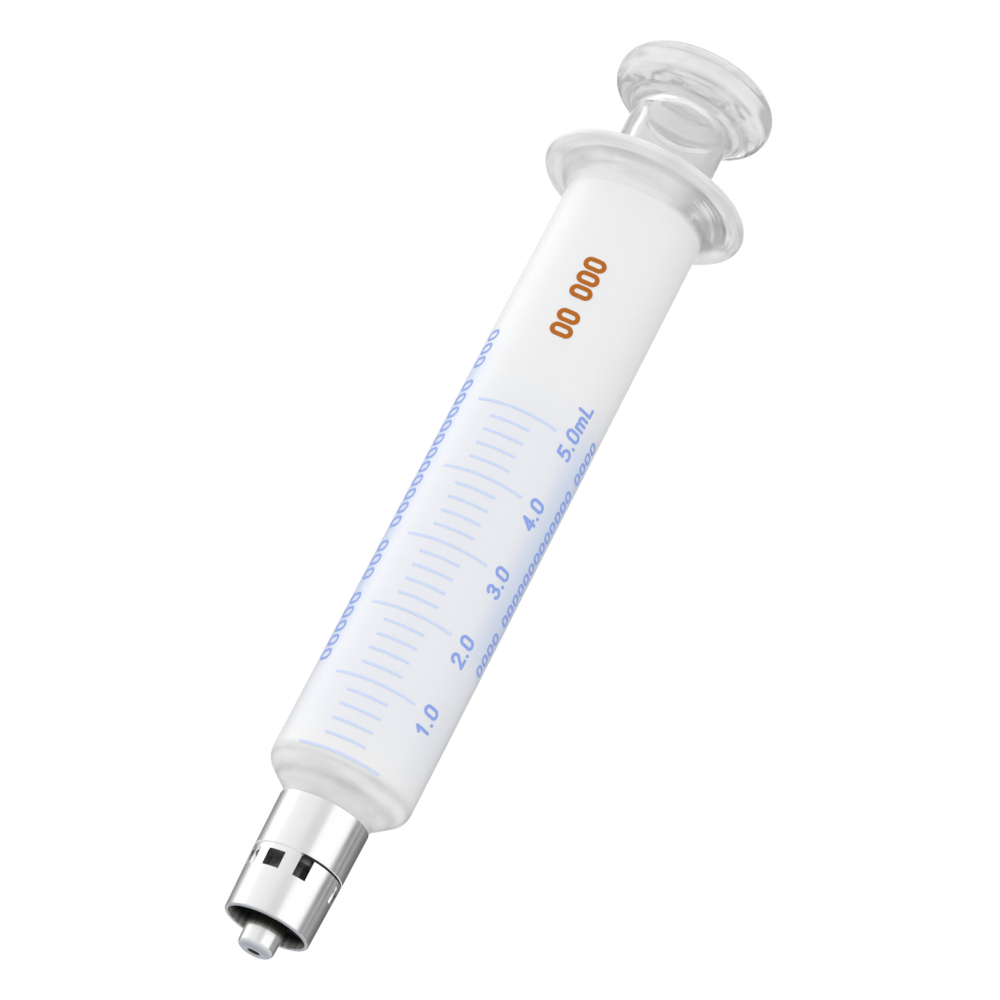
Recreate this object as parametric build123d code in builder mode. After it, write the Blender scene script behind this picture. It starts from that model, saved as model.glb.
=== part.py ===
from build123d import *
from math import cos, pi, radians, sin, tan
import os

# All-glass syringe with a plated metal Luer-lock tip, in millimetres.
# The syringe stands on its axis, +Z, with its tip down and its plunger pushed home.
# The origin is the centre of the Luer cone's end face. The printed scale faces -Y.

# Volume and scale
CAPACITY_ML = 5
BORE_R = 6.125
MM_PER_ML = 1000 / (pi * BORE_R**2)
SCALE_ZERO_Z = 20.35
MARKS_PER_ML = 5

# Glass barrel
BARREL_R = 7.9
SHOULDER_Z = 20.4
SHOULDER_CORNER_R = 1.9
SHOULDER_SLOPE = 40
NECK_R = 4.95
NECK_FILLET = 1.1
NOZZLE_END_R = 3.0
NOZZLE_TOP_R = 3.2
NOZZLE_BORE_R = 1.2
INNER_CONE_SLOPE = 33
FLANGE_R = 11.7
FLANGE_THICKNESS = 1.65
FLANGE_MID_Z = 94.9
FLARE_R = 2.7
MOUTH_ROUNDING = 2.3

# Glass plunger
RUNNING_GAP = 0.025
PLUNGER_R = BORE_R - RUNNING_GAP
PLUNGER_END_ROUNDING = 0.6
GROUND_TOP_Z = 91.4
STEM_R = 5.575
STEM_BOTTOM_Z = 93.0
STEM_FILLET = 1.6
KNOB_R = 9.05
KNOB_RIM_R = 2.6
KNOB_MID_Z = 108.1
CAVITY_R = 4.5
CAVITY_BOTTOM_Z = 22.9
CAVITY_TOP_Z = 107.7
CAVITY_ROUNDING = 4.0

# Metal tip
CONE_END_R = 1.95
CONE_TAPER = 0.03
CONE_EDGE_R = 0.8
CONE_BORE_R = 0.7
CONE_BORE_CHAMFER = 0.12
SHANK_R = 1.9
BOSS_R = 2.7
BOSS_BOTTOM_Z = 7.85
SOCKET_R = 3.5
SOCKET_FLOOR_Z = 11.4
SEAM_R = 4.75
HUB_SEAM_Z = 10.2
HUB_SEAM_R = 4.93
HUB_TOP_Z = 16.3
HUB_TOP_R = 5.03
SPIGOT_R = 4.15
SPIGOT_BOTTOM_Z = 9.5

# Lock collar
COLLAR_MOUTH_Z = 2.85
COLLAR_MOUTH_R = 4.70
COLLAR_TOP_Z = 9.95
COLLAR_TOP_R = 4.92
COLLAR_OUTER_LIP_R = 0.22
COLLAR_INNER_LIP_R = 0.12
GROOVE_R = 4.6
WINDOW_BOTTOM_Z = 7.65
WINDOW_TOP_Z = 9.5
# Windows of one half of the collar: centre angle, width, and height of the top edge.
WINDOWS = (
    (-106, 1.85, WINDOW_TOP_Z),
    (-69, 1.85, WINDOW_TOP_Z),
    (-32, 1.95, WINDOW_TOP_Z),
    (7, 1.45, COLLAR_TOP_Z),
)

# Lock thread: two starts, right hand
THREAD_MAJOR_R = 4.3
THREAD_MINOR_R = 3.55
THREAD_LEAD = 5.0
THREAD_STARTS = 2
THREAD_BOTTOM_Z = 4.3
THREAD_HEIGHT = 2.6
THREAD_ROOT_WIDTH = 1.2
THREAD_CREST_WIDTH = 0.5
THREAD_EMBED = 0.12

# Fired enamel print
ENAMEL = 0.04
MARK_WIDTH = 0.28
LONG_MARK_FROM = -46.0
LONG_MARK_TO = 22.7
SHORT_MARK_FROM = -28.8
SHORT_MARK_TO = 4.5
NUMERAL_HEIGHT = 2.0
NUMERAL_START_BELOW_MARK = 2.35
CAPACITY_START_BELOW_MARK = 2.0
NUMERAL_STROKE = 0.34
NUMERAL_BASE_ANGLE = 45.6
PAIR_MARK_TEXT = "00 000"
PAIR_MARK_HEIGHT = 2.4
PAIR_MARK_STROKE = 0.5
PAIR_MARK_BASE_ANGLE = -0.8
PAIR_MARK_Z = 72.3
SIDE_LEFT_TEXT = "00000 000 00000000000 000"
SIDE_LEFT_BASE_ANGLE = -63.0
SIDE_LEFT_Z = 30.2
SIDE_LEFT_HEIGHT = 2.34
SIDE_RIGHT_TEXT = "0000 0000000000000 0000"
SIDE_RIGHT_BASE_ANGLE = 75.5
SIDE_RIGHT_Z = 36.3
SIDE_RIGHT_HEIGHT = 1.75
SIDE_STROKE = 0.28
LETTER_GAP = 0.16

os.makedirs("parts", exist_ok=True)


def around(angle):
    """Unit vector from the axis: 0 degrees faces -Y, and +90 degrees faces +X."""
    return Vector(sin(radians(angle)), -cos(radians(angle)), 0)


def radial_plane(angle):
    """Plane through the axis at this angle: local x is outwards and local y is up."""
    outward = around(angle)
    return Plane(origin=(0, 0, 0), x_dir=outward, z_dir=outward.cross(Vector(0, 0, 1)))


def tangent_plane(angle, z):
    """Plane that touches the barrel: local x is up, and local y is towards smaller angles."""
    outward = around(angle)
    return Plane(origin=outward * BARREL_R + Vector(0, 0, z), x_dir=(0, 0, 1), z_dir=outward)


# Centre lines of the characters, in cap heights. A stroke of two points is straight, and a
# stroke of three points is an arc.
GLYPHS = {
    "0": [[(0.08, 0.3), (0.08, 0.7)], [(0.08, 0.7), (0.3, 0.92), (0.52, 0.7)],
          [(0.52, 0.7), (0.52, 0.3)], [(0.52, 0.3), (0.3, 0.08), (0.08, 0.3)]],
    "1": [[(0.14, 0.7), (0.36, 0.92)], [(0.36, 0.92), (0.36, 0.08)]],
    "2": [[(0.08, 0.72), (0.32, 0.92), (0.5, 0.62)], [(0.5, 0.62), (0.08, 0.08)],
          [(0.08, 0.08), (0.54, 0.08)]],
    "3": [[(0.1, 0.78), (0.48, 0.76), (0.26, 0.52)], [(0.26, 0.52), (0.52, 0.24), (0.08, 0.22)]],
    "4": [[(0.42, 0.08), (0.42, 0.92)], [(0.42, 0.92), (0.06, 0.3)], [(0.06, 0.3), (0.58, 0.3)]],
    "5": [[(0.5, 0.92), (0.14, 0.92)], [(0.14, 0.92), (0.1, 0.54)],
          [(0.1, 0.54), (0.53, 0.32), (0.08, 0.14)]],
    ".": [[(0.09, 0.06), (0.09, 0.1)]],
    "m": [[(0.08, 0.08), (0.08, 0.62)], [(0.08, 0.44), (0.24, 0.62), (0.4, 0.44)],
          [(0.4, 0.44), (0.4, 0.08)], [(0.4, 0.44), (0.56, 0.62), (0.72, 0.44)],
          [(0.72, 0.44), (0.72, 0.08)]],
    "L": [[(0.1, 0.92), (0.1, 0.08)], [(0.1, 0.08), (0.5, 0.08)]],
}
GLYPH_WIDTHS = {".": 0.18, " ": 0.4, "m": 0.78}
GLYPH_WIDTH = 0.58


def word(text, height, stroke):
    """Sketch of a line of characters, from local x = 0, with its baseline on local y = 0."""
    x = 0
    with BuildSketch() as lettering:
        for symbol in text:
            for points in GLYPHS.get(symbol, []):
                places = [(x + height * px, height * py) for px, py in points]
                with BuildLine():
                    if len(places) == 2:
                        Line(*places)
                    else:
                        ThreePointArc(*places)
                trace(line_width=stroke)
                with Locations(places[0], places[-1]):
                    Circle(stroke / 2)
            x += height * (GLYPH_WIDTHS.get(symbol, GLYPH_WIDTH) + LETTER_GAP)
    return lettering.sketch


# Barrel: one piece of glass, from the ground nozzle to the finger flange.
rim_radius = FLANGE_THICKNESS / 2
flange_bottom_z = FLANGE_MID_Z - rim_radius
flange_top_z = FLANGE_MID_Z + rim_radius
bore_end_z = SCALE_ZERO_Z - 0.3
nozzle_bottom_z = SOCKET_FLOOR_Z + 0.1
with BuildPart() as barrel:
    with BuildSketch(Plane.XZ):
        with BuildLine():
            corner = CenterArc(
                (BARREL_R - SHOULDER_CORNER_R, SHOULDER_Z),
                SHOULDER_CORNER_R,
                SHOULDER_SLOPE - 90,
                90 - SHOULDER_SLOPE,
            )
            cone_top = corner @ 0
            neck_z = cone_top.Y - (cone_top.X - NECK_R) * tan(radians(SHOULDER_SLOPE))
            Polyline(
                (NOZZLE_BORE_R, nozzle_bottom_z),
                (NOZZLE_END_R, nozzle_bottom_z),
                (NOZZLE_TOP_R, HUB_TOP_Z),
                (NECK_R, HUB_TOP_Z),
                (NECK_R, neck_z),
                cone_top,
            )
            flare = CenterArc((BARREL_R + FLARE_R, flange_bottom_z - FLARE_R), FLARE_R, 180, -90)
            Line(corner @ 1, flare @ 0)
            rim = CenterArc((FLANGE_R - rim_radius, FLANGE_MID_Z), rim_radius, -90, 180)
            Line(flare @ 1, rim @ 0)
            mouth = CenterArc(
                (BORE_R + MOUTH_ROUNDING, flange_top_z - MOUTH_ROUNDING), MOUTH_ROUNDING, 90, 90
            )
            Line(rim @ 1, mouth @ 0)
            inner_cone_drop = (BORE_R - NOZZLE_BORE_R) * tan(radians(INNER_CONE_SLOPE))
            Polyline(
                mouth @ 1,
                (BORE_R, bore_end_z),
                (NOZZLE_BORE_R, bore_end_z - inner_cone_drop),
                (NOZZLE_BORE_R, nozzle_bottom_z),
            )
        make_face()
    revolve(axis=Axis.Z)
    barrel_circles = barrel.edges().filter_by(GeomType.CIRCLE)
    fillet(barrel_circles.filter_by_position(Axis.Z, neck_z, neck_z), radius=NECK_FILLET)
barrel.part.label = "barrel"
export_step(barrel.part, "parts/barrel.step")

# Plunger: one hollow, sealed piece of glass. Its lower part is ground to fit the bore.
knob_bottom_z = KNOB_MID_Z - KNOB_RIM_R
knob_top_z = KNOB_MID_Z + KNOB_RIM_R
with BuildPart() as plunger:
    with BuildSketch(Plane.XZ):
        with BuildLine():
            end_rounding = CenterArc(
                (PLUNGER_R - PLUNGER_END_ROUNDING, SCALE_ZERO_Z + PLUNGER_END_ROUNDING),
                PLUNGER_END_ROUNDING,
                -90,
                90,
            )
            Line((0, SCALE_ZERO_Z), end_rounding @ 0)
            stem_fillet = CenterArc(
                (STEM_R + STEM_FILLET, knob_bottom_z - STEM_FILLET), STEM_FILLET, 180, -90
            )
            Polyline(
                end_rounding @ 1, (PLUNGER_R, GROUND_TOP_Z), (STEM_R, STEM_BOTTOM_Z), stem_fillet @ 0
            )
            knob_rim = CenterArc((KNOB_R - KNOB_RIM_R, KNOB_MID_Z), KNOB_RIM_R, -90, 180)
            Line(stem_fillet @ 1, knob_rim @ 0)
            Polyline(knob_rim @ 1, (0, knob_top_z), (0, SCALE_ZERO_Z))
        make_face()
        with BuildLine():
            cavity_corner_r = CAVITY_R - CAVITY_ROUNDING
            cavity_bottom = CenterArc(
                (cavity_corner_r, CAVITY_BOTTOM_Z + CAVITY_ROUNDING), CAVITY_ROUNDING, -90, 90
            )
            cavity_top = CenterArc(
                (cavity_corner_r, CAVITY_TOP_Z - CAVITY_ROUNDING), CAVITY_ROUNDING, 0, 90
            )
            Line(cavity_bottom @ 1, cavity_top @ 0)
            Polyline(
                cavity_top @ 1, (0, CAVITY_TOP_Z), (0, CAVITY_BOTTOM_Z), cavity_bottom @ 0
            )
        make_face(mode=Mode.SUBTRACT)
    revolve(axis=Axis.Z)
plunger.part.label = "plunger"
export_step(plunger.part, "parts/plunger.step")

# Tip hub: turned body with the socket for the glass nozzle and the boss for the Luer cone.
with BuildPart() as tip_hub:
    with BuildSketch(Plane.XZ):
        with BuildLine():
            Polyline(
                (SHANK_R, BOSS_BOTTOM_Z),
                (BOSS_R, BOSS_BOTTOM_Z),
                (BOSS_R, SPIGOT_BOTTOM_Z),
                (SPIGOT_R, SPIGOT_BOTTOM_Z),
                (SPIGOT_R, COLLAR_TOP_Z),
                (SEAM_R, COLLAR_TOP_Z),
                (SEAM_R, HUB_SEAM_Z),
                (HUB_SEAM_R, HUB_SEAM_Z),
                (HUB_TOP_R, HUB_TOP_Z),
                (SOCKET_R, HUB_TOP_Z),
                (SOCKET_R, SOCKET_FLOOR_Z),
                (SHANK_R, SOCKET_FLOOR_Z),
                close=True,
            )
        make_face()
    revolve(axis=Axis.Z)
    outer_corners = tip_hub.edges().filter_by(GeomType.CIRCLE).group_by(SortBy.RADIUS)
    chamfer(outer_corners[-1] + outer_corners[-2], length=0.08)
tip_hub.part.label = "tip_hub"
export_step(tip_hub.part, "parts/tip_hub.step")

# Luer cone: tube with a 6 per cent taper, pressed by its shank into the hub's boss.
cone_base_r = CONE_END_R + CONE_TAPER * BOSS_BOTTOM_Z
with BuildPart() as luer_cone:
    with BuildSketch(Plane.XZ):
        with BuildLine():
            Polyline(
                (CONE_BORE_R, 0),
                (CONE_END_R, 0),
                (cone_base_r, BOSS_BOTTOM_Z),
                (SHANK_R, BOSS_BOTTOM_Z),
                (SHANK_R, SOCKET_FLOOR_Z),
                (CONE_BORE_R, SOCKET_FLOOR_Z),
                close=True,
            )
        make_face()
    revolve(axis=Axis.Z)
    end_circles = luer_cone.edges().filter_by(GeomType.CIRCLE).group_by(Axis.Z)[0]
    fillet(end_circles.sort_by(SortBy.RADIUS)[-1], radius=CONE_EDGE_R)
    end_circles = luer_cone.edges().filter_by(GeomType.CIRCLE).group_by(Axis.Z)[0]
    chamfer(end_circles.sort_by(SortBy.RADIUS)[0], length=CONE_BORE_CHAMFER)
luer_cone.part.label = "luer_cone"
export_step(luer_cone.part, "parts/luer_cone.step")

# Thread ridge: one start of the lock thread, swept along its helix inside the collar.
with BuildPart() as thread_ridge:
    with BuildLine():
        helix = Helix(
            pitch=THREAD_LEAD,
            height=THREAD_HEIGHT,
            radius=THREAD_MAJOR_R,
            center=(0, 0, THREAD_BOTTOM_Z),
        )
    with BuildSketch(Plane(origin=helix @ 0, x_dir=(-1, 0, 0), z_dir=helix % 0)):
        with BuildLine():
            Polyline(
                (-THREAD_EMBED, -THREAD_ROOT_WIDTH / 2),
                (THREAD_MAJOR_R - THREAD_MINOR_R, -THREAD_CREST_WIDTH / 2),
                (THREAD_MAJOR_R - THREAD_MINOR_R, THREAD_CREST_WIDTH / 2),
                (-THREAD_EMBED, THREAD_ROOT_WIDTH / 2),
                close=True,
            )
        make_face()
    sweep(path=helix, is_frenet=True)

# Lock collar: tapered sleeve around the cone, with its two-start thread and its side windows.
# A groove inside it, above the thread, lies behind the windows.
with BuildPart() as lock_collar:
    with BuildSketch(Plane.XZ):
        with BuildLine():
            Polyline(
                (THREAD_MAJOR_R, COLLAR_MOUTH_Z),
                (COLLAR_MOUTH_R, COLLAR_MOUTH_Z),
                (COLLAR_TOP_R, COLLAR_TOP_Z),
                (SPIGOT_R, COLLAR_TOP_Z),
                (SPIGOT_R, WINDOW_TOP_Z),
                (GROOVE_R, WINDOW_TOP_Z),
                (GROOVE_R, WINDOW_BOTTOM_Z),
                (THREAD_MAJOR_R, WINDOW_BOTTOM_Z),
                close=True,
            )
        make_face()
    revolve(axis=Axis.Z)
    mouth_circles = lock_collar.edges().filter_by(GeomType.CIRCLE).group_by(Axis.Z)[0]
    fillet(mouth_circles.sort_by(SortBy.RADIUS)[-1], radius=COLLAR_OUTER_LIP_R)
    mouth_circles = lock_collar.edges().filter_by(GeomType.CIRCLE).group_by(Axis.Z)[0]
    fillet(mouth_circles.sort_by(SortBy.RADIUS)[0], radius=COLLAR_INNER_LIP_R)
    with PolarLocations(0, THREAD_STARTS):
        add(thread_ridge.part)
    for centre, width, top_z in WINDOWS:
        for half_turn in (0, 180):
            window_plane = Plane(
                origin=(0, 0, WINDOW_BOTTOM_Z), x_dir=around(centre + half_turn), z_dir=(0, 0, 1)
            )
            with BuildSketch(window_plane):
                with Locations((SPIGOT_R + 0.5, 0)):
                    Rectangle(2, width)
            extrude(amount=top_z - WINDOW_BOTTOM_Z, mode=Mode.SUBTRACT)
lock_collar.part.label = "lock_collar"
export_step(lock_collar.part, "parts/lock_collar.step")

# Nozzle cement: the ring of cement that fills the socket around the glass nozzle.
with BuildPart() as nozzle_cement:
    with BuildSketch(Plane.XZ):
        with BuildLine():
            Polyline(
                (NOZZLE_END_R, nozzle_bottom_z),
                (SOCKET_R, nozzle_bottom_z),
                (SOCKET_R, HUB_TOP_Z),
                (NOZZLE_TOP_R, HUB_TOP_Z),
                close=True,
            )
        make_face()
    revolve(axis=Axis.Z)
nozzle_cement.part.label = "nozzle_cement"
export_step(nozzle_cement.part, "parts/nozzle_cement.step")


def scale_marks(numbers, from_angle, to_angle):
    """Graduation lines of fired enamel: one thin arc on the glass for each number."""
    with BuildPart() as marks:
        for number in numbers:
            mark_z = SCALE_ZERO_Z + number * MM_PER_ML / MARKS_PER_ML
            with BuildSketch(radial_plane(from_angle)):
                with Locations((BARREL_R + ENAMEL / 2, mark_z)):
                    Rectangle(ENAMEL, MARK_WIDTH)
            revolve(axis=Axis.Z, revolution_arc=to_angle - from_angle)
    return marks.part


def barrel_lettering(lines, height, stroke, base_angle):
    """Enamel characters that read up the barrel: (text, z of its start) for each line."""
    with BuildPart() as lettering:
        for text, start_z in lines:
            with BuildSketch(tangent_plane(base_angle, start_z)):
                add(word(text, height, stroke))
            extrude(amount=1, both=True)
        with BuildSketch(Plane.XY.offset(SHOULDER_Z)):
            Circle(BARREL_R + ENAMEL)
            Circle(BARREL_R, mode=Mode.SUBTRACT)
        extrude(amount=flange_bottom_z - SHOULDER_Z, mode=Mode.INTERSECT)
    return lettering.part


# Graduations: a long line at each millilitre, and short lines between them.
mark_numbers = range(CAPACITY_ML * MARKS_PER_ML + 1)
long_numbers = [number for number in mark_numbers if number % MARKS_PER_ML == 0]
short_numbers = [number for number in mark_numbers if number % MARKS_PER_ML]
scale_long_marks = scale_marks(long_numbers, LONG_MARK_FROM, LONG_MARK_TO)
scale_long_marks.label = "scale_long_marks"
export_step(scale_long_marks, "parts/scale_long_marks.step")
scale_short_marks = scale_marks(short_numbers, SHORT_MARK_FROM, SHORT_MARK_TO)
scale_short_marks.label = "scale_short_marks"
export_step(scale_short_marks, "parts/scale_short_marks.step")

# Numerals: one beside each long line but the zero.
numeral_lines = []
for millilitres in range(1, CAPACITY_ML):
    numeral_start_z = SCALE_ZERO_Z + millilitres * MM_PER_ML - NUMERAL_START_BELOW_MARK
    numeral_lines.append((f"{millilitres}.0", numeral_start_z))
capacity_start_z = SCALE_ZERO_Z + CAPACITY_ML * MM_PER_ML - CAPACITY_START_BELOW_MARK
numeral_lines.append((f"{CAPACITY_ML}.0mL", capacity_start_z))
scale_numerals = barrel_lettering(
    numeral_lines, NUMERAL_HEIGHT, NUMERAL_STROKE, NUMERAL_BASE_ANGLE
)
scale_numerals.label = "scale_numerals"
export_step(scale_numerals, "parts/scale_numerals.step")

# Pairing number: the same blank number stands on every barrel made from this file.
pairing_mark = barrel_lettering(
    [(PAIR_MARK_TEXT, PAIR_MARK_Z)], PAIR_MARK_HEIGHT, PAIR_MARK_STROKE, PAIR_MARK_BASE_ANGLE
)
pairing_mark.label = "pairing_mark"
export_step(pairing_mark, "parts/pairing_mark.step")

# Side lettering: a line of blank zeros down each side of the barrel.
side_lettering = barrel_lettering(
    [(SIDE_LEFT_TEXT, SIDE_LEFT_Z)], SIDE_LEFT_HEIGHT, SIDE_STROKE, SIDE_LEFT_BASE_ANGLE
)
side_lettering += barrel_lettering(
    [(SIDE_RIGHT_TEXT, SIDE_RIGHT_Z)], SIDE_RIGHT_HEIGHT, SIDE_STROKE, SIDE_RIGHT_BASE_ANGLE
)
side_lettering.label = "side_lettering"
export_step(side_lettering, "parts/side_lettering.step")
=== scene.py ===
"""Looks of an all-glass syringe with a plated Luer-lock tip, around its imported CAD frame. Metres."""

import math

import bpy
from mathutils import Matrix, Vector


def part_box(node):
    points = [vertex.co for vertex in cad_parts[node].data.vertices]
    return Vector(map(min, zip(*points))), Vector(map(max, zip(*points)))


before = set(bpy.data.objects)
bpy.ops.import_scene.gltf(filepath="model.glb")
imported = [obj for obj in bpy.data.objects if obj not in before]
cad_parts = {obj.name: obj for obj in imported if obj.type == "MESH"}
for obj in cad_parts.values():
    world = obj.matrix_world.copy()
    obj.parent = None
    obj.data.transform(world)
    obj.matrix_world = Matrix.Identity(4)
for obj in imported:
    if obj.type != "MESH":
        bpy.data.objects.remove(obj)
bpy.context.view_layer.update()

MM = 0.001

# Camera: below the middle of the syringe, looking up at its printed side.
VIEW_RISE = math.radians(21.9)
VIEW_ROLL = math.radians(27.34)
VIEW_DISTANCE = 0.4954
AIM = Vector((1.15, 0, 55.89)) * MM
LENS = 169.74
SENSOR_WIDTH = 36
CLIP_FROM = 0.01
CLIP_TO = 20

# Studio
FLOOR_DROP = 0.2
FLOOR_HALF = 3.0
BACKDROP_WHITE = 1.0

# Heights on the barrel where its finish changes, from the frame
barrel_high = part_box("barrel")[1]
plunger_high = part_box("plunger")[1]
marks_low, marks_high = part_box("scale_long_marks")
collar_low, collar_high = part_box("lock_collar")
FROST_FROM = marks_low.z - 1.2 * MM
FROST_TO = barrel_high.z - 3.9 * MM
PLUNGER_FROST_TO = FROST_TO - 0.6 * MM
RINGS_FROM = plunger_high.z - 2.6 * MM
HAZE = 0.22
GLASS_IOR = 1.5

# Streaked haze on the flare: its height, and the bearing round which the glass stays clear
FLARE_HAZE_HEIGHT = 4.3 * MM
CLEAR_BEARING = math.radians(60)
CLEAR_WITHIN = math.radians(22)
HAZY_BEYOND = math.radians(50)

# Bearings, in degrees, between which the painted shade line in the collar's seam comes in:
# to the right of the front, and behind
SEAM_RIGHT = (-6, 2)
SEAM_BEHIND = (-115, -95)

# Metal: the radius within which it is dull, and the height of the greyer band at its lower edge, a
# painted dark reflection
COLLAR_DULL_WITHIN = 4.45 * MM
COLLAR_DARK_REFLECTION = 0.3 * MM
CONE_DULL_WITHIN = 3 * MM
CONE_DARK_REFLECTION = 0.8 * MM


class Tree:
    """A node tree of a material or a world, with short ways to add nodes and link them."""

    def __init__(self, owner, output="ShaderNodeOutputMaterial"):
        self.owner = owner
        owner.use_nodes = True
        self.nodes = owner.node_tree.nodes
        self.links = owner.node_tree.links
        self.nodes.clear()
        self.output = self.add(output)

    def add(self, kind, inputs=None, **settings):
        node = self.nodes.new(kind)
        for key, value in settings.items():
            setattr(node, key, value)
        for key, value in (inputs or {}).items():
            self.feed(node.inputs[key], value)
        return node

    def feed(self, socket, value):
        if isinstance(value, bpy.types.NodeSocket):
            self.links.new(value, socket)
        else:
            socket.default_value = value

    def place(self):
        """The point in the row frame, in metres; it stays with the piece when it moves."""
        return self.add("ShaderNodeTexCoord").outputs["Object"]

    def height(self):
        return self.add("ShaderNodeSeparateXYZ", {0: self.place()}).outputs["Z"]

    def radius(self):
        """Distance from the syringe's axis."""
        flat = self.stretched(1, 1, 0)
        return self.add("ShaderNodeVectorMath", {0: flat}, operation="LENGTH").outputs["Value"]

    def angle(self):
        """Angle round the axis: 0 faces -Y, and positive is towards +X."""
        parts = self.add("ShaderNodeSeparateXYZ", {0: self.stretched(1, -1, 1)})
        return self.maths("ARCTAN2", parts.outputs["X"], parts.outputs["Y"])

    def maths(self, operation, a, b=0.0, clamp=False):
        node = self.add("ShaderNodeMath", {0: a, 1: b}, operation=operation, use_clamp=clamp)
        return node.outputs[0]

    def ramp(self, value, low, high, to_low=0.0, to_high=1.0, smooth=True):
        node = self.add(
            "ShaderNodeMapRange",
            {"Value": value, "From Min": low, "From Max": high, "To Min": to_low, "To Max": to_high},
            interpolation_type="SMOOTHSTEP" if smooth else "LINEAR",
        )
        return node.outputs["Result"]

    def profile(self, value, stops, full=1.0):
        """The level at a value, read from straight lines between (value, level) stops."""
        low, high = stops[0][0], stops[-1][0]
        share = self.ramp(value, low, high, smooth=False)
        ramp = self.add("ShaderNodeValToRGB", {"Fac": share})
        elements = ramp.color_ramp.elements
        for place, level in stops[1:-1]:
            elements.new((place - low) / (high - low))
        for element, (place, level) in zip(elements, stops):
            tone = level / full
            element.position = (place - low) / (high - low)
            element.color = (tone, tone, tone, 1)
        return self.maths("MULTIPLY", ramp.outputs["Color"], full)

    def stretched(self, x, y, z):
        node = self.add("ShaderNodeVectorMath", {0: self.place(), 1: (x, y, z)}, operation="MULTIPLY")
        return node.outputs[0]

    def noise(self, vector, scale=1.0, detail=2.0, roughness=0.5):
        node = self.add(
            "ShaderNodeTexNoise",
            {"Vector": vector, "Scale": scale, "Detail": detail, "Roughness": roughness},
        )
        return node.outputs["Fac"]

    def mix(self, share, a, b):
        return self.add("ShaderNodeMix", {0: share, 2: a, 3: b}, data_type="FLOAT").outputs[0]

    def colour_mix(self, share, a, b):
        node = self.add("ShaderNodeMix", {0: share, 6: a, 7: b}, data_type="RGBA")
        return node.outputs[2]

    def bump(self, height, strength, distance):
        node = self.add(
            "ShaderNodeBump", {"Height": height, "Strength": strength, "Distance": distance}
        )
        return node.outputs[0]

    def shader_mix(self, share, a, b):
        return self.add("ShaderNodeMixShader", {0: share, 1: a, 2: b}).outputs[0]

    def done(self, surface):
        self.feed(self.output.inputs["Surface"], surface)
        return self.owner


def material(name):
    return Tree(bpy.data.materials.new(name))


# Tone of the dull metal inside the tip, by height in millimetres above the mouth: painted light at the
# mouth, and painted shade that deepens to near black further in
COLLAR_SHADE_TONES = (
    (0, 0.66), (0.5, 0.42), (0.9, 0.12), (1.3, 0.012), (4.5, 0.02), (4.8, 0.12), (6.6, 0.14),
)
CONE_SHADE_TONES = ((-0.7, 0.70), (-0.5, 0.30), (-0.2, 0.05), (0.1, 0.012), (4.5, 0.02), (6.6, 0.12))


def plated_metal(name, tones, dull_within, dark_reflection_from, dark_reflection_to):
    """Bright nickel plate over fine turning lines, with a painted dark reflection as a greyer band at
    its lower edge. Inside a radius, from the first of the tones up, it is dull and streaked, with
    painted light at the mouth and painted shade deeper in. A near-black line of painted shade shows
    in the collar's seam, on the right and behind."""
    tree = material(name)
    turning = tree.noise(tree.stretched(120, 120, 9000), detail=3.0)
    clouding = tree.noise(tree.stretched(350, 350, 200), detail=4.0)
    bright = tree.colour_mix(clouding, (0.82, 0.82, 0.82, 1), (0.88, 0.88, 0.89, 1))
    z = tree.height()
    angle = tree.angle()
    # Painted shade: a near-black line in the collar's seam, only on the right and behind
    seam = tree.maths(
        "MULTIPLY",
        tree.ramp(z, collar_high.z - 0.03 * MM, collar_high.z),
        tree.ramp(z, collar_high.z + 0.24 * MM, collar_high.z + 0.27 * MM, 1.0, 0.0),
    )
    right = tree.ramp(angle, *map(math.radians, SEAM_RIGHT))
    behind = tree.ramp(angle, *map(math.radians, SEAM_BEHIND), 1.0, 0.0)
    seam = tree.maths("MULTIPLY", seam, tree.maths("MAXIMUM", right, behind))
    # The near-black colour of the painted shade in the seam
    bright = tree.colour_mix(seam, bright, (0.02, 0.025, 0.03, 1))
    # Painted dark reflection: a greyer band at the lower edge
    bright = tree.colour_mix(tree.ramp(z, dark_reflection_from, dark_reflection_to), (0.36, 0.39, 0.44, 1), bright)
    within = tree.ramp(tree.radius(), dull_within - 0.05 * MM, dull_within + 0.05 * MM, 1.0, 0.0)
    depth = tree.maths("MULTIPLY", tree.maths("SUBTRACT", z, collar_low.z), 1 / MM)
    inside = tree.maths("MULTIPLY", within, tree.ramp(depth, tones[0][0], tones[0][0] + 0.1))
    streaks = tree.noise(tree.add("ShaderNodeCombineXYZ", {0: angle, 2: z}).outputs[0], 9.0)
    streaked = tree.ramp(streaks, 0.3, 0.7, 0.55, 1.35)
    # Painted light and shade inside the tip: the tone follows depth, light at the mouth and near black
    # further in
    tone = tree.maths("MULTIPLY", tree.profile(depth, tones), streaked)
    dull = tree.colour_mix(tone, (0, 0, 0, 1), (1.0, 0.96, 0.90, 1))
    shine = tree.ramp(clouding, 0.3, 0.7, 0.2, 0.26)
    surface = tree.add(
        "ShaderNodeBsdfPrincipled",
        {
            "Base Color": tree.colour_mix(inside, bright, dull),
            "Metallic": tree.ramp(inside, 0, 1, 1.0, 0.3, smooth=False),
            "Roughness": tree.maths("ADD", shine, tree.maths("MULTIPLY", inside, 0.1)),
            "Normal": tree.bump(turning, 0.12, 0.00002),
        },
    )
    return tree.done(surface.outputs[0])


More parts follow.
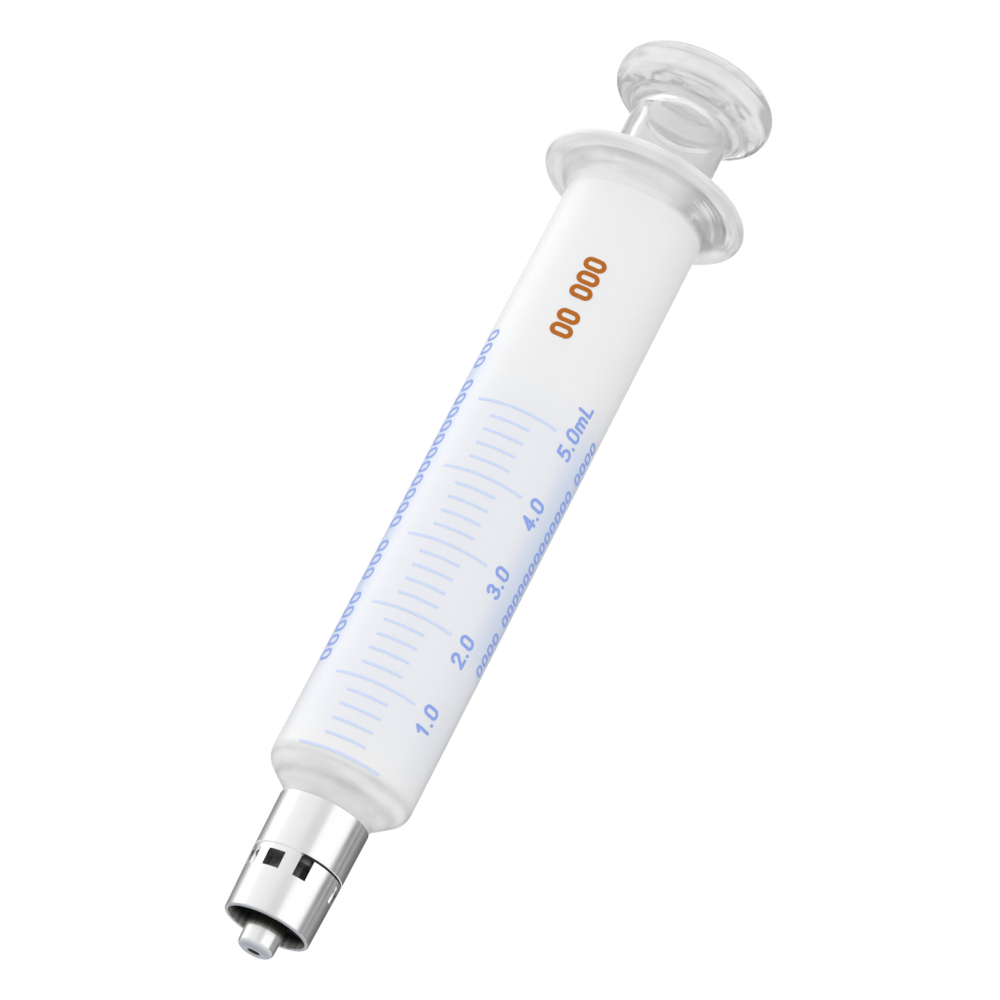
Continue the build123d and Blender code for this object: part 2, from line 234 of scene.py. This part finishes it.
def fire_polished(tree, roughness, rim_radius, rim_haze):
    """Glass with rings and slow waves from hand work, and a streaky haze round its rim."""
    radius = tree.radius()
    above = tree.maths("SUBTRACT", tree.height(), RINGS_FROM)
    pitch = tree.ramp(radius, 5.8 * MM, 7.5 * MM, 120, 550)
    section = {0: tree.maths("MULTIPLY", radius, 700), 2: tree.maths("MULTIPLY", above, pitch)}
    rings = tree.noise(tree.add("ShaderNodeCombineXYZ", section).outputs[0])
    waves = tree.noise(tree.stretched(150, 150, 60), detail=1.0)
    normal = tree.bump(tree.maths("ADD", rings, tree.maths("MULTIPLY", waves, 2.0)), 1.0, 0.0004)
    glass = tree.add(
        "ShaderNodeBsdfPrincipled",
        {
            "Base Color": (0.985, 0.985, 0.99, 1),
            "Roughness": roughness,
            "IOR": GLASS_IOR,
            "Transmission Weight": 1.0,
            "Normal": normal,
        },
    )
    haze = tree.add(
        "ShaderNodeBsdfPrincipled",
        {"Base Color": (0.97, 0.972, 0.98, 1), "Roughness": 0.3, "Normal": normal},
    )
    rim = tree.ramp(radius, rim_radius - 1.4 * MM, rim_radius - 0.2 * MM, 0.0, rim_haze)
    streaks = tree.ramp(tree.maths("ADD", rings, waves), 0.7, 1.3, 0.55, 1.25)
    share = tree.maths("ADD", tree.maths("MULTIPLY", rim, streaks), HAZE, clamp=True)
    return tree.shader_mix(share, glass.outputs[0], haze.outputs[0])


def milky(tree, tint):
    """Ground glass: it scatters most light back, and lets a little through."""
    grain = tree.noise(tree.stretched(9000, 9000, 9000), detail=2.0)
    normal = tree.bump(grain, 0.2, 0.00003)
    front = tree.add(
        "ShaderNodeBsdfPrincipled",
        {"Base Color": tint, "Roughness": 0.3, "IOR": GLASS_IOR, "Normal": normal},
    )
    through = tree.add("ShaderNodeBsdfTranslucent", {"Color": tint, "Normal": normal})
    return tree.shader_mix(0.08, front.outputs[0], through.outputs[0])


def painted_print_glow(tree, z):
    """Painted glow: blue tint round the print, standing in for its light scattered in the ground
    glass; most on the barrel's sides.
    """
    angle = tree.angle()
    low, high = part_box("side_lettering")

    def patch(across, bottom, top, fade):
        rising = tree.ramp(z, bottom, bottom + fade)
        falling = tree.ramp(z, top - fade, top, 1.0, 0.0)
        return tree.maths("MULTIPLY", across, tree.maths("MULTIPLY", rising, falling))

    left = tree.ramp(angle, math.radians(-80), math.radians(-42), 0.9, 0.0)
    right = tree.ramp(angle, math.radians(24), math.radians(62), 0.0, 0.75)
    left = patch(left, low.z - 4 * MM, high.z + 2 * MM, 8 * MM)
    right = patch(right, low.z + 2 * MM, high.z - 3 * MM, 8 * MM)
    front = patch(0.18, marks_low.z, marks_high.z + 5 * MM, 6 * MM)
    glow = tree.maths("MAXIMUM", front, tree.maths("MAXIMUM", left, right))
    turned = tree.maths("ABSOLUTE", angle)
    printed_side = tree.ramp(turned, math.radians(86), math.radians(112), 1.0, 0.0)
    return tree.maths("MULTIPLY", glow, printed_side)


# Share of haze on the barrel's shoulder, by height in millimetres above the metal
SHOULDER_HAZE = (
    (0.0, 0.74), (0.6, 0.72), (1.3, 0.76), (1.9, 0.64), (2.4, 0.90), (2.8, 0.88), (3.3, 0.66),
    (3.8, 0.84), (4.4, 0.97),
)


def flare_haze(tree, z):
    """Share of streaked haze on the flare. It thins upwards, and leaves out the right."""
    streaks = tree.noise(tree.stretched(90, 90, 1500), detail=2.0)
    share = tree.maths(
        "MULTIPLY",
        tree.ramp(z, FROST_TO, FROST_TO + FLARE_HAZE_HEIGHT, 0.85, 0.0),
        tree.ramp(streaks, 0.35, 0.65, 0.72, 1.08),
    )
    turned = tree.maths("ABSOLUTE", tree.maths("SUBTRACT", tree.angle(), CLEAR_BEARING))
    return tree.maths("MULTIPLY", share, tree.ramp(turned, CLEAR_WITHIN, HAZY_BEYOND))


def frosted_barrel():
    """The barrel: ground between its shoulder and its flare, and clear beyond them."""
    tree = material("frosted_glass")
    z = tree.height()
    hub_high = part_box("tip_hub")[1]
    uneven = tree.noise(tree.stretched(130, 130, 220), detail=1.0)
    rise = tree.maths("MULTIPLY", tree.maths("SUBTRACT", z, hub_high.z), 1 / MM)
    wavy_rise = tree.maths("ADD", rise, tree.ramp(uneven, 0.2, 0.8, -0.25, 0.25))
    marbling = tree.noise(tree.stretched(180, 180, 900), detail=2.0)
    clearest = tree.ramp(rise, 3.5, 4.3, 1.0, 0.0)
    marbled = tree.maths("MULTIPLY", tree.ramp(marbling, 0.3, 0.7, -0.1, 0.06), clearest)
    lower = tree.maths("ADD", tree.profile(wavy_rise, SHOULDER_HAZE), marbled, clamp=True)
    upper = tree.ramp(z, FROST_TO - 0.4 * MM, FROST_TO + 0.7 * MM, 1.0, 0.0)
    upper = tree.maths("MAXIMUM", upper, flare_haze(tree, z))
    roughness = tree.ramp(z, FROST_FROM, FROST_TO, 0.1, 0.04)
    grinding = tree.noise(tree.stretched(700, 700, 2600), detail=3.0)
    white = tree.colour_mix(grinding, (0.925, 0.926, 0.932, 1), (0.945, 0.946, 0.952, 1))
    # Painted glow: the ground glass is tinted blue round the print
    tint = tree.colour_mix(painted_print_glow(tree, z), white, (0.68, 0.78, 0.99, 1))
    share = tree.maths("MULTIPLY", lower, upper)
    clear = fire_polished(tree, roughness, barrel_high.x, 0.5)
    return tree.done(tree.shader_mix(share, clear, milky(tree, tint)))


def ground_plunger():
    """The plunger: ground where it runs in the bore, and clear from its neck up."""
    tree = material("clear_glass")
    top = PLUNGER_FROST_TO
    share = tree.ramp(tree.height(), top - 0.5 * MM, top + 0.5 * MM, 0.6, 0.0)
    ground = milky(tree, (0.93, 0.932, 0.94, 1))
    clear = fire_polished(tree, 0.04, plunger_high.x, 0.15)
    return tree.done(tree.shader_mix(share, clear, ground))


def enamel(name, light, dark):
    """Fired enamel, a little uneven in its cover."""
    tree = material(name)
    cover = tree.noise(tree.stretched(2500, 2500, 2500), detail=3.0)
    surface = tree.add(
        "ShaderNodeBsdfPrincipled",
        {
            "Base Color": tree.colour_mix(cover, dark, light),
            "Roughness": 0.45,
            "Specular IOR Level": 0.25,
        },
    )
    return tree.done(surface.outputs[0])


def set_cement():
    """Dull off-white cement with a fine grain."""
    tree = material("cement")
    grain = tree.noise(tree.stretched(4000, 4000, 4000), detail=4.0)
    surface = tree.add(
        "ShaderNodeBsdfPrincipled",
        {
            "Base Color": tree.colour_mix(grain, (0.62, 0.60, 0.55, 1), (0.80, 0.78, 0.73, 1)),
            "Roughness": 0.85,
            "Normal": tree.bump(grain, 0.4, 0.0001),
        },
    )
    return tree.done(surface.outputs[0])


def dress(look, *names):
    for name in names:
        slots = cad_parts[name].data.materials
        for index in range(len(slots)):
            slots[index] = look


def studio_floor():
    """Plain pale floor, well below the syringe."""
    size = FLOOR_HALF
    corners = [(-size, -size, 0), (size, -size, 0), (size, size, 0), (-size, size, 0)]
    mesh = bpy.data.meshes.new("floor")
    mesh.from_pydata(corners, [], [(0, 1, 2, 3)])
    tree = material("floor")
    mottle = tree.noise(tree.place(), scale=3.0)
    tone = tree.colour_mix(mottle, (0.87, 0.87, 0.87, 1), (0.90, 0.90, 0.90, 1))
    surface = tree.add("ShaderNodeBsdfPrincipled", {"Base Color": tone, "Roughness": 0.8})
    mesh.materials.append(tree.done(surface.outputs[0]))
    floor = bpy.data.objects.new("floor", mesh)
    floor.location.z = -FLOOR_DROP
    bpy.context.scene.collection.objects.link(floor)


# Brightness of the room round the syringe, as (bearing, brightness): 0 degrees is in front of the
# scale, and positive is to its right. In LOW, soft boxes stand to the left and right with grey flags
# behind them; HIGH is the rest of the room.
LOW = (
    (-180, 0.65), (-172, 0.50), (-166, 0.22), (-142, 0.32), (-130, 0.60), (-118, 1.15),
    (-106, 1.50), (-92, 1.45), (-80, 1.06), (-25, 0.92), (-14, 0.78), (7, 0.76), (13, 1.20),
    (73, 1.20), (78, 0.34), (88, 0.16), (97, 0.66), (104, 0.08), (112, 0.50), (126, 0.26),
    (150, 0.14), (166, 0.14), (172, 0.50), (180, 0.65),
)
HIGH = (
    (-180, 0.80), (-138, 0.90), (-128, 2.1), (-96, 2.1), (-86, 1.25), (-40, 1.12), (0, 0.98),
    (10, 0.98), (16, 1.10), (62, 1.10), (88, 0.92), (100, 0.66), (150, 0.54), (165, 0.68),
    (180, 0.80),
)
ROOM_FULL = 2.5

# Elevations, in degrees, between which LOW holds, and where the light overhead comes in
LOW_FROM = -8
LOW_TO = 22
EDGE = 3
OVERHEAD_FROM = 50
OVERHEAD_TO = 70
OVERHEAD_LIGHT = 1.2


def studio_room():
    """Soft light from all round. The camera itself sees a plain white backdrop."""
    world = bpy.data.worlds.new("room")
    bpy.context.scene.world = world
    tree = Tree(world, "ShaderNodeOutputWorld")
    direction = tree.add("ShaderNodeTexCoord").outputs["Generated"]
    x, y, z = tree.add("ShaderNodeSeparateXYZ", {0: direction}).outputs
    turn = tree.maths("ARCTAN2", x, tree.maths("MULTIPLY", y, -1.0))
    bearing = tree.maths("MULTIPLY", turn, 180 / math.pi)
    rise = tree.maths("MULTIPLY", tree.maths("ARCSINE", z), 180 / math.pi)
    low, high = tree.profile(bearing, LOW, ROOM_FULL), tree.profile(bearing, HIGH, ROOM_FULL)
    room = tree.mix(tree.ramp(rise, LOW_FROM - EDGE, LOW_FROM + EDGE), high, low)
    room = tree.mix(tree.ramp(rise, LOW_TO - EDGE, LOW_TO + EDGE), room, high)
    room = tree.mix(tree.ramp(rise, OVERHEAD_FROM, OVERHEAD_TO), room, OVERHEAD_LIGHT)
    seen = tree.add("ShaderNodeLightPath").outputs["Is Camera Ray"]
    strength = tree.mix(seen, room, BACKDROP_WHITE)
    background = tree.add("ShaderNodeBackground", {"Color": (1, 1, 1, 1), "Strength": strength})
    tree.done(background.outputs[0])


def camera():
    """Looks up at the syringe, rolled so that the syringe leans to the right."""
    forward = Vector((0, math.cos(VIEW_RISE), math.sin(VIEW_RISE)))
    along = Vector((0, -math.sin(VIEW_RISE), math.cos(VIEW_RISE)))
    across = Vector((1, 0, 0))
    right = across * math.cos(VIEW_ROLL) + along * math.sin(VIEW_ROLL)
    up = along * math.cos(VIEW_ROLL) - across * math.sin(VIEW_ROLL)
    data = bpy.data.cameras.new("camera")
    data.lens = LENS
    data.sensor_width = SENSOR_WIDTH
    data.clip_start = CLIP_FROM
    data.clip_end = CLIP_TO
    lens = bpy.data.objects.new("camera", data)
    turn = Matrix((right, up, -forward)).transposed().to_4x4()
    lens.matrix_world = Matrix.Translation(AIM - forward * VIEW_DISTANCE) @ turn
    bpy.context.scene.collection.objects.link(lens)
    bpy.context.scene.camera = lens


dress(frosted_barrel(), "barrel")
dress(ground_plunger(), "plunger")
lip = collar_low.z
collar_metal = plated_metal(
    "plated_metal", COLLAR_SHADE_TONES, COLLAR_DULL_WITHIN, lip, lip + COLLAR_DARK_REFLECTION
)
dress(collar_metal, "tip_hub", "lock_collar")
dress(plated_metal("plated_cone", CONE_SHADE_TONES, CONE_DULL_WITHIN, 0, CONE_DARK_REFLECTION), "luer_cone")
dress(set_cement(), "nozzle_cement")
pale_blue = enamel("pale_blue_enamel", (0.60, 0.70, 0.95, 1), (0.64, 0.73, 0.96, 1))
blue = enamel("blue_enamel", (0.25, 0.37, 0.82, 1), (0.30, 0.42, 0.86, 1))
brown = enamel("brown_enamel", (0.50, 0.145, 0.004, 1), (0.44, 0.12, 0.003, 1))
dress(pale_blue, "scale_long_marks", "scale_short_marks")
dress(blue, "scale_numerals", "side_lettering")
dress(brown, "pairing_mark")
studio_floor()
studio_room()
camera()
scene = bpy.context.scene
scene.view_settings.view_transform = "Standard"
scene.cycles.max_bounces = 24
scene.cycles.transmission_bounces = 20
scene.cycles.transparent_max_bounces = 16
